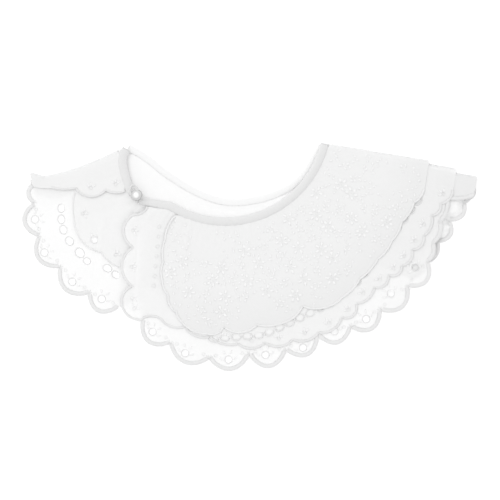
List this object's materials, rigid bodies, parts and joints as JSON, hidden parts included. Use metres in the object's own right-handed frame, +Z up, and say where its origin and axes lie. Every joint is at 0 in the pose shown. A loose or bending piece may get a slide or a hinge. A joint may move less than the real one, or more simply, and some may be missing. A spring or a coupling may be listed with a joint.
{
  "type": "lace collar",
  "caption": "White three-tier eyelet lace collar with scalloped hems, bound neck and a pearl button, lying flat and folded at the shoulders",
  "frame": {"origin": "centre of the underside, on the surface that it lies on", "axes": "+X along the shoulders to the right, +Y from the hem to the neck, +Z up"},
  "size_m": [0.3551, 0.1778, 0.0157],
  "materials": {
    "cotton_voile": "fine white cotton with white embroidery",
    "cotton_tape": "folded cotton bias tape, stitched",
    "cotton_thread": "twisted thread",
    "pearl": "imitation pearl, glossy"
  },
  "bodies": {
    "root": {"back_half": "cotton_voile", "left_base_tier": "cotton_voile", "left_middle_tier": "cotton_voile", "left_top_tier": "cotton_voile", "front_base_tier": "cotton_voile", "front_middle_tier": "cotton_voile", "front_top_tier": "cotton_voile", "back_neck_binding": "cotton_tape", "front_neck_binding": "cotton_tape", "left_neck_binding": "cotton_tape", "pearl_button": "pearl", "button_loop": "cotton_thread"}
  },
  "joints": []
}
